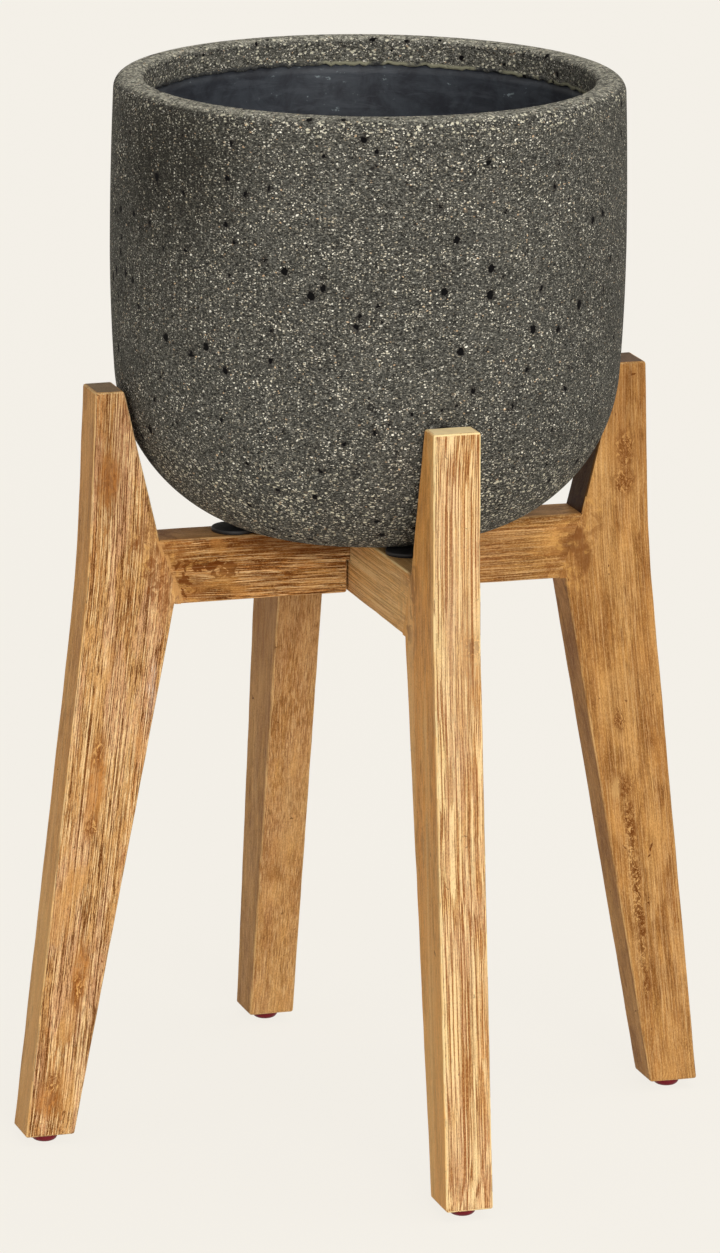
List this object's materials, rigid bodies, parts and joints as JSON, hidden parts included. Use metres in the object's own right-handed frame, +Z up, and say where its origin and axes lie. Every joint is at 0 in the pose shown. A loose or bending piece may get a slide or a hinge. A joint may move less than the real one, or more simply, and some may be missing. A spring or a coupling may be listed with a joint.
{
  "type": "standing planter",
  "caption": "Round stone-look planter pot with a dark lining, resting on rubber pads in a wooden cross stand with splayed boomerang-shaped legs and nail-on glides.",
  "frame": {"origin": "on the floor at the centre of the stand's cross", "axes": "+Z up along the pot's axis, +X along the left-right rail to the right leg, -Y along the front-back rail to the front leg"},
  "size_m": [0.4244, 0.4244, 0.6343],
  "materials": {
    "stone": "matt dark grey stone composite with pale specks and small air holes",
    "lining": "smooth dark backing coat with faint brush streaks",
    "stopper": "matt black",
    "board": "wire-brushed and oiled golden brown",
    "dowel": "plain beech",
    "pad": "matt black",
    "glide": "glossy dark red",
    "nail": "bright wire"
  },
  "bodies": {
    "lower_frame": {"rail_front_back": "board", "leg_front": "board", "leg_back": "board", "dowels_front_back": "dowel", "pad_front": "pad", "pad_back": "pad", "glide_front": "glide", "glide_back": "glide", "nails_front_back": "nail"},
    "upper_frame": {"rail_left_right": "board", "leg_left": "board", "leg_right": "board", "dowels_left_right": "dowel", "pad_left": "pad", "pad_right": "pad", "glide_left": "glide", "glide_right": "glide", "nails_left_right": "nail"},
    "pot": {"pot_shell": "stone", "pot_lining": "lining"},
    "stopper": {"drain_plug": "stopper"}
  },
  "joints": [
    {"name": "upper_frame_lift", "type": "slide", "parent": "lower_frame", "child": "upper_frame", "axis": [0, 0, 1], "range_m": [0, 0.12]},
    {"name": "pot_lift", "type": "slide", "parent": "upper_frame", "child": "pot", "axis": [0, 0, 1], "range_m": [0, 0.3]},
    {"name": "stopper_pull", "type": "slide", "parent": "pot", "child": "stopper", "axis": [0, 0, 1], "range_m": [0, 0.26]}
  ]
}
